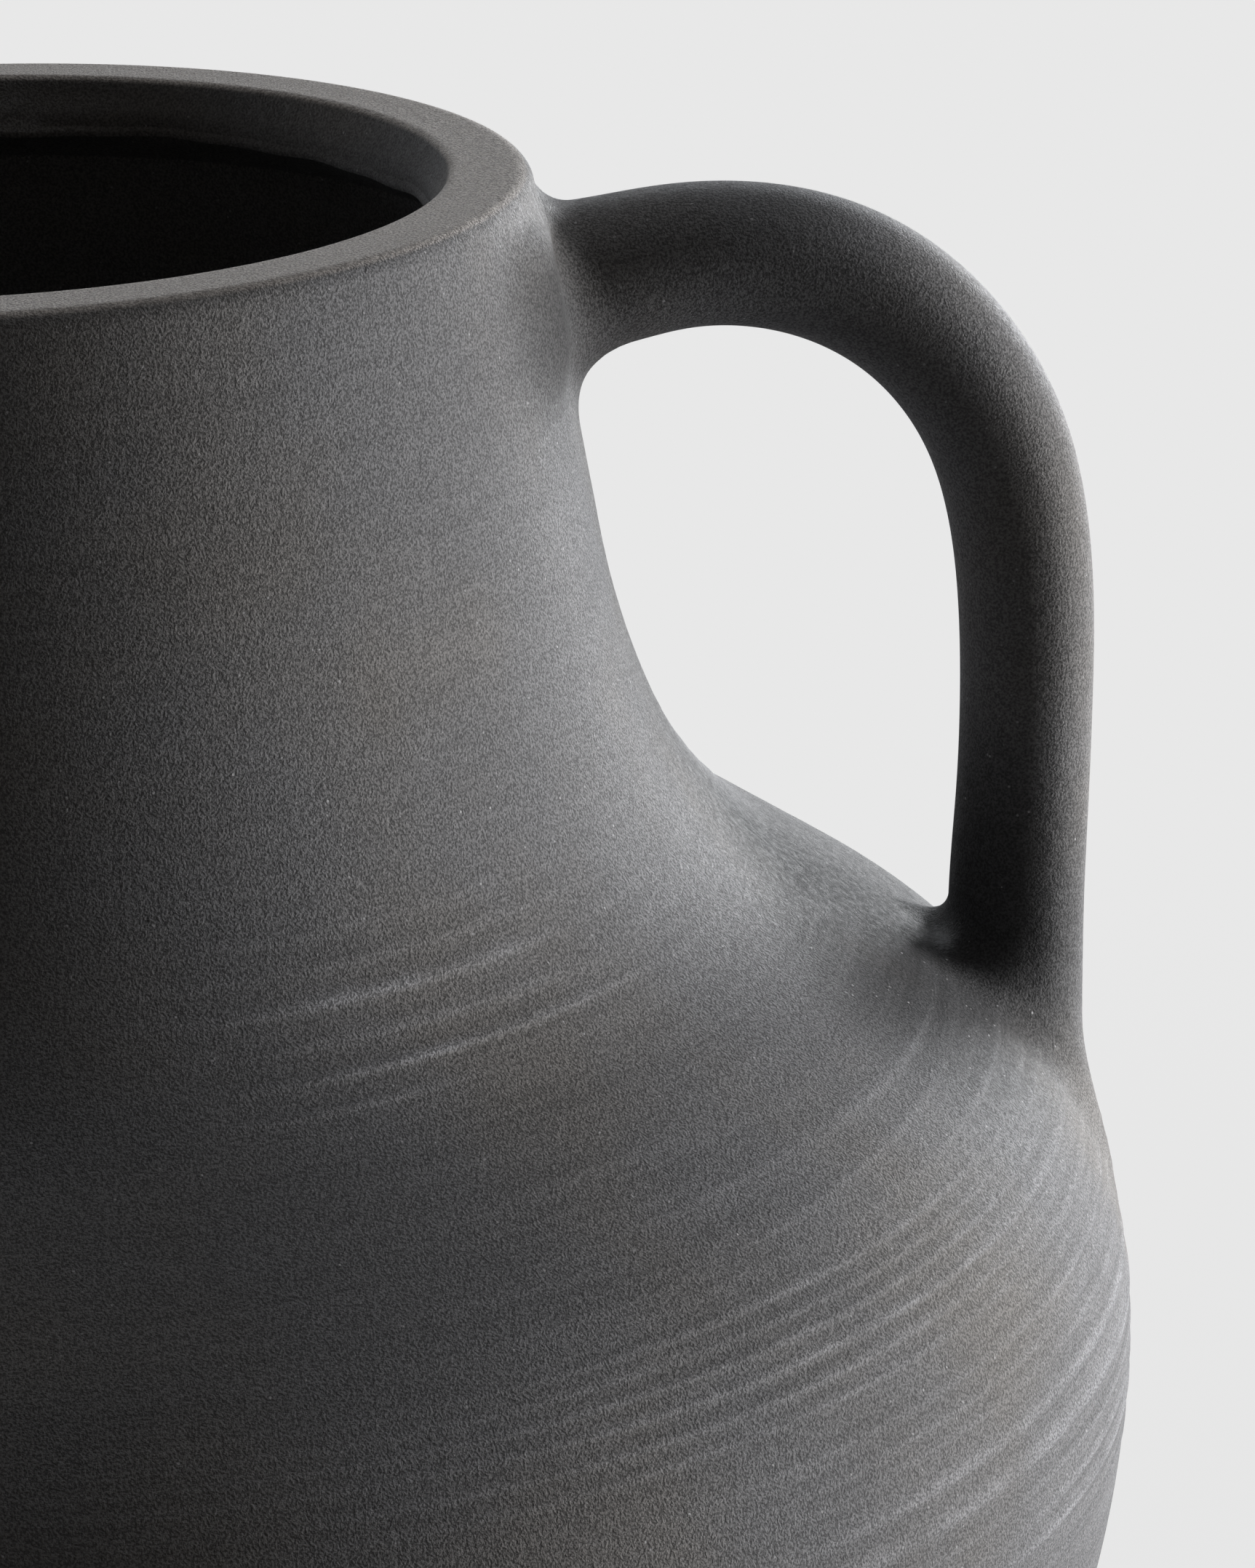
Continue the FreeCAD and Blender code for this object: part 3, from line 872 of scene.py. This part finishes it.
def product(tree, first, *others):
    """Values multiplied together."""
    for value in others:
        first = math_node(tree, "MULTIPLY", first, value)
    return first


def between(tree, value, low, high, to_low=0.0, to_high=1.0):
    """A value's even rise from to_low at low to to_high at high."""
    node = tree.nodes.new("ShaderNodeMapRange")
    node.interpolation_type = "SMOOTHSTEP"
    tree.links.new(value, node.inputs["Value"])
    for key, number in (("From Min", low), ("From Max", high), ("To Min", to_low), ("To Max", to_high)):
        node.inputs[key].default_value = number
    return node.outputs[0]


def noise(tree, vector, scale, detail=2.0, roughness=0.5):
    node = tree.nodes.new("ShaderNodeTexNoise")
    node.inputs["Scale"].default_value = scale
    node.inputs["Detail"].default_value = detail
    node.inputs["Roughness"].default_value = roughness
    tree.links.new(vector, node.inputs["Vector"])
    return node.outputs[0]


def mix_colors(tree, factor, first, second):
    node = tree.nodes.new("ShaderNodeMix")
    node.data_type = "RGBA"
    for value, key in ((factor, 0), (first, 6), (second, 7)):
        if isinstance(value, (int, float, tuple)):
            node.inputs[key].default_value = value
        else:
            tree.links.new(value, node.inputs[key])
    return node.outputs[2]


# The clay. Colours are linear.

BLUISH_CLAY = (0.146, 0.147, 0.153, 1)
BROWN_CLAY = (0.157, 0.147, 0.136, 1)
# The rim's flat top: partly paler clay of its own, partly painted light that stands in for light falling on
# the top face.
RIM_CLAY_AND_TOP_LIGHT = (0.450, 0.420, 0.398, 1)
# Painted highlight on the throwing lines' crests, standing in for glints of light.
CREST_HIGHLIGHT = (0.34, 0.345, 0.365, 1)
PALE_FLECK = (0.36, 0.36, 0.37, 1)
# The middle and the reach, in x, y and z, of the painted shade round the handle's foot, where the handle's
# shadow falls.
FOOT_SHADE_PLACE = ((0.121, 0.019), (0.0, 0.034), (0.203, 0.022))


def streak_tone(tree, place, turn, radius, z):
    """Fine bands round the jar, stronger on the belly than on the neck."""
    along = tree.nodes.new("ShaderNodeCombineXYZ")
    tree.links.new(product(tree, turn, 0.005), along.inputs[0])
    tree.links.new(radius, along.inputs[1])
    tree.links.new(z, along.inputs[2])
    streaks = noise(tree, along.outputs[0], 620.0, 3.0, 0.6)
    swing = product(tree, between(tree, z, 0.205, 0.240, 0.13, 0.05),
                    between(tree, noise(tree, place, 12.0), 0.40, 0.62, 0.25, 1.0))
    return math_node(tree, "ADD", 1.0, product(tree, swing, between(tree, streaks, 0.36, 0.64, -1.0, 1.0)))


def smear_and_shade_tone(tree, turn, z):
    """Darker on the neck, on both sides of the handle's root: partly smeared darker clay, partly painted
    shade from the handle and the ridge.
    """
    aside = math_node(tree, "ABSOLUTE", turn)
    flank = product(tree, between(tree, aside, math.radians(8), math.radians(16)),
                    between(tree, aside, math.radians(16), math.radians(31), 1.0, 0.0))
    beside_root = product(tree, between(tree, z, 0.268, 0.292), between(tree, z, 0.297, 0.308, 1.0, 0.0))
    return math_node(tree, "SUBTRACT", 1.0, product(tree, flank, beside_root, 0.50))


def foot_shade_tone(tree, axes):
    """Painted shade round the handle's foot, where the handle's shadow falls."""
    squares = []
    for value, (middle, reach) in zip(axes, FOOT_SHADE_PLACE):
        share = math_node(tree, "DIVIDE", math_node(tree, "SUBTRACT", value, middle), reach)
        squares.append(math_node(tree, "POWER", share, 2.0))
    away = math_node(tree, "ADD", math_node(tree, "ADD", squares[0], squares[1]), squares[2])
    return between(tree, away, 0.2, 3.2, 0.36, 1.0)


def crest_highlight_share(tree, place):
    """How strongly the painted highlight shows on the throwing lines' crests, which changes along them."""
    crest = tree.nodes.new("ShaderNodeAttribute")
    crest.attribute_name = "crest"
    return product(tree, math_node(tree, "POWER", crest.outputs["Fac"], 1.2),
                   between(tree, noise(tree, place, 75.0, 3.0), 0.36, 0.60, 0.20, 0.50))


def fleck_share(tree, place):
    """1 in the small pale flecks, of which there are few."""
    specks = tree.nodes.new("ShaderNodeTexVoronoi")
    specks.inputs["Scale"].default_value = 750.0
    tree.links.new(place, specks.inputs["Vector"])
    return product(tree, between(tree, specks.outputs["Distance"], 0.10, 0.16, 1.0, 0.0),
                   between(tree, noise(tree, place, 420.0, 1.0), 0.58, 0.66))


def clay():
    """Sandy grey stoneware: bluish, but browner in patches and paler on the rim, with pale grains. The rim's
    paleness is partly the clay's own and partly painted light on the top face. The crests get a painted
    highlight, and painted shade lies beside the handle's root and round its foot.
    """
    STONEWARE.use_nodes = True
    tree = STONEWARE.node_tree
    shader = tree.nodes["Principled BSDF"]
    place = tree.nodes.new("ShaderNodeTexCoord").outputs["Object"]
    split = tree.nodes.new("ShaderNodeSeparateXYZ")
    tree.links.new(place, split.inputs[0])
    x, y, z = split.outputs
    turn = math_node(tree, "ARCTAN2", y, x)
    radius = math_node(tree, "SQRT", math_node(tree, "ADD", product(tree, x, x), product(tree, y, y)))
    grain = noise(tree, place, 3000.0, 2.0, 0.6)
    sand = noise(tree, place, 900.0, 3.0, 0.6)
    cloud = noise(tree, place, 16.0, 3.0, 0.55)

    tint = mix_colors(tree, between(tree, cloud, 0.42, 0.66, 0.0, 0.55), BLUISH_CLAY, BROWN_CLAY)
    # Paler rim top: its own paler clay plus painted light on the top face.
    tint = mix_colors(tree, product(tree, between(tree, z, 0.3092, 0.3098), 0.85), tint, RIM_CLAY_AND_TOP_LIGHT)
    # Painted highlight on the crests of the throwing lines.
    tint = mix_colors(tree, crest_highlight_share(tree, place), tint, CREST_HIGHLIGHT)
    # The tone holds painted shade beside the handle's root and round the handle's foot.
    tone = product(tree, between(tree, grain, 0.36, 0.64, 0.60, 1.38),
                   streak_tone(tree, place, turn, radius, z), smear_and_shade_tone(tree, turn, z),
                   foot_shade_tone(tree, (x, y, z)))
    toned = tree.nodes.new("ShaderNodeVectorMath")
    toned.operation = "SCALE"
    tree.links.new(tint, toned.inputs[0])
    tree.links.new(tone, toned.inputs["Scale"])
    color = mix_colors(tree, fleck_share(tree, place), toned.outputs[0], PALE_FLECK)
    tree.links.new(color, shader.inputs["Base Color"])

    tree.links.new(between(tree, sand, 0.3, 0.7, 0.62, 0.78), shader.inputs["Roughness"])
    shader.inputs["Specular IOR Level"].default_value = 0.08
    bump = tree.nodes.new("ShaderNodeBump")
    bump.inputs["Strength"].default_value = 0.85
    bump.inputs["Distance"].default_value = 0.00032
    height = math_node(tree, "ADD", product(tree, grain, 0.7), product(tree, sand, 0.5))
    tree.links.new(height, bump.inputs["Height"])
    tree.links.new(bump.outputs[0], shader.inputs["Normal"])


clay()

# Floor, light and camera. The page is what the photo shows behind the jar.

PAGE = (0.807, 0.807, 0.807, 1)
PAPER_NEAR_JAR = (0.785, 0.785, 0.785, 1)
CONTACT_SHADOW = (0.30, 0.295, 0.29, 1)
CONTACT_REACH = 0.16
LIT_PAPER = (0.012, 0.012, 0.012, 1)
LIT_PAPER_RADII = (0.35, 0.75)
FLOOR_BOUNCE = (0.24, 0.235, 0.225, 1)
FLOOR_HALF = 8.0
ROOM_FILL = (0.031, 0.027, 0.023, 1)


def shown_rays(tree):
    """1 for rays that should see the plain page: straight, mirrored or through glass."""
    path = tree.nodes.new("ShaderNodeLightPath")
    either = math_node(tree, "MAXIMUM", path.outputs["Is Camera Ray"], path.outputs["Is Glossy Ray"])
    return math_node(tree, "MAXIMUM", either, path.outputs["Is Transmission Ray"])


def emptied(tree):
    """A node tree without its first nodes."""
    for node in list(tree.nodes):
        tree.nodes.remove(node)
    return tree


def choose_by_ray(tree, unseen, seen, output):
    """Light from unseen for rays that light the jar, and from seen for those that show the page."""
    choice = tree.nodes.new("ShaderNodeMixShader")
    tree.links.new(shown_rays(tree), choice.inputs[0])
    tree.links.new(unseen.outputs[0], choice.inputs[1])
    tree.links.new(seen.outputs[0], choice.inputs[2])
    tree.links.new(choice.outputs[0], output.inputs[0])


def floor_material():
    """Paper with the jar's shadow, which further out is as bright as the page."""
    material = bpy.data.materials.new("floor_paper")
    material.use_nodes = True
    tree = emptied(material.node_tree)
    output = tree.nodes.new("ShaderNodeOutputMaterial")
    bounce = tree.nodes.new("ShaderNodeBsdfDiffuse")
    bounce.inputs["Color"].default_value = FLOOR_BOUNCE
    distance = tree.nodes.new("ShaderNodeVectorMath")
    distance.operation = "LENGTH"
    tree.links.new(tree.nodes.new("ShaderNodeTexCoord").outputs["Object"], distance.inputs[0])
    away = between(tree, distance.outputs["Value"], *LIT_PAPER_RADII)
    lit = tree.nodes.new("ShaderNodeBsdfDiffuse")
    tree.links.new(mix_colors(tree, away, LIT_PAPER, (0, 0, 0, 1)), lit.inputs["Color"])
    nearby = tree.nodes.new("ShaderNodeAmbientOcclusion")
    nearby.inputs["Distance"].default_value = CONTACT_REACH
    paper = mix_colors(tree, away, PAPER_NEAR_JAR, PAGE)
    glow = tree.nodes.new("ShaderNodeEmission")
    tree.links.new(mix_colors(tree, nearby.outputs["AO"], CONTACT_SHADOW, paper), glow.inputs["Color"])
    both = tree.nodes.new("ShaderNodeAddShader")
    tree.links.new(lit.outputs[0], both.inputs[0])
    tree.links.new(glow.outputs[0], both.inputs[1])
    choose_by_ray(tree, bounce, both, output)
    return material


def paper_floor():
    mesh = bpy.data.meshes.new("floor")
    corners = [(x * FLOOR_HALF, y * FLOOR_HALF, 0) for x, y in ((-1, -1), (1, -1), (1, 1), (-1, 1))]
    mesh.from_pydata(corners, [], [(0, 1, 2, 3)])
    mesh.materials.append(floor_material())
    piece = bpy.data.objects.new("floor", mesh)
    bpy.context.scene.collection.objects.link(piece)


def world_light():
    world = bpy.data.worlds.new("room")
    bpy.context.scene.world = world
    world.use_nodes = True
    tree = emptied(world.node_tree)
    output = tree.nodes.new("ShaderNodeOutputWorld")
    page, fill = (tree.nodes.new("ShaderNodeBackground") for _ in range(2))
    page.inputs["Color"].default_value = PAGE
    fill.inputs["Color"].default_value = ROOM_FILL
    choose_by_ray(tree, fill, page, output)


def stand_at(holder, place, right, over, ahead):
    """Puts a lamp or camera at a place, looking ahead."""
    rows = [(right[i], over[i], -ahead[i], place[i]) for i in range(3)]
    holder.matrix_world = Matrix(rows + [(0, 0, 0, 1)])
    bpy.context.scene.collection.objects.link(holder)


def soft_light(name, place, aim, size, power, color):
    """A window of soft light: its place and aim, its width and height, its power in watts and its colour."""
    lamp = bpy.data.lights.new(name, "AREA")
    lamp.shape = "RECTANGLE"
    lamp.size, lamp.size_y = size
    lamp.energy = power
    lamp.color = color
    way = np.array(aim) - np.array(place)
    way = way / np.linalg.norm(way)
    side = np.cross(way, (0, 0, 1))
    side /= np.linalg.norm(side)
    stand_at(bpy.data.objects.new(name, lamp), place, side, np.cross(side, way), way)


# The camera's lens and stand, fitted to the photo's rim, neck, belly and handle. Angles are in radians.

CAMERA_LENS = 145.59
CAMERA_STAND = (0.0, -0.79345, 0.48296)
YAW, PITCH, ROLL = 0.108387, 0.312881, -0.0175965


def photo_camera():
    camera = bpy.data.cameras.new("camera")
    camera.sensor_fit = "VERTICAL"
    camera.sensor_height = 36.0
    camera.lens = CAMERA_LENS
    camera.clip_start = 0.05
    upright = np.array([0, 0, 1.0])
    level = np.array([math.sin(YAW), math.cos(YAW), 0.0])
    side = np.array([math.cos(YAW), -math.sin(YAW), 0.0])
    ahead = math.cos(PITCH) * level - math.sin(PITCH) * upright
    above = math.sin(PITCH) * level + math.cos(PITCH) * upright
    right = math.cos(ROLL) * side + math.sin(ROLL) * above
    over = -math.sin(ROLL) * side + math.cos(ROLL) * above
    holder = bpy.data.objects.new("camera", camera)
    stand_at(holder, CAMERA_STAND, right, over, ahead)
    bpy.context.scene.camera = holder


paper_floor()
world_light()
soft_light("window_right", (1.12, 0.06, 0.07), (0, 0, 0.16), (0.5, 0.16), 19.0, (1.0, 0.985, 0.97))
soft_light("window_high", (1.02, 0.28, 1.26), (0, 0, 0.2), (0.8, 0.8), 5.5, (0.97, 0.98, 1.0))
soft_light("window_corner", (1.00, 1.33, 0.38), (0, 0, 0.2), (0.6, 0.45), 29.0, (0.96, 0.98, 1.0))
soft_light("window_back", (0.05, 2.25, 0.95), (0, 0, 0.2), (1.2, 0.9), 11.0, (0.90, 0.95, 1.0))
soft_light("window_left", (-1.40, 0.75, 0.43), (0, 0, 0.2), (0.8, 0.3), 5.0, (0.96, 0.98, 1.0))
photo_camera()

view = bpy.context.scene.view_settings
view.view_transform = "Standard"
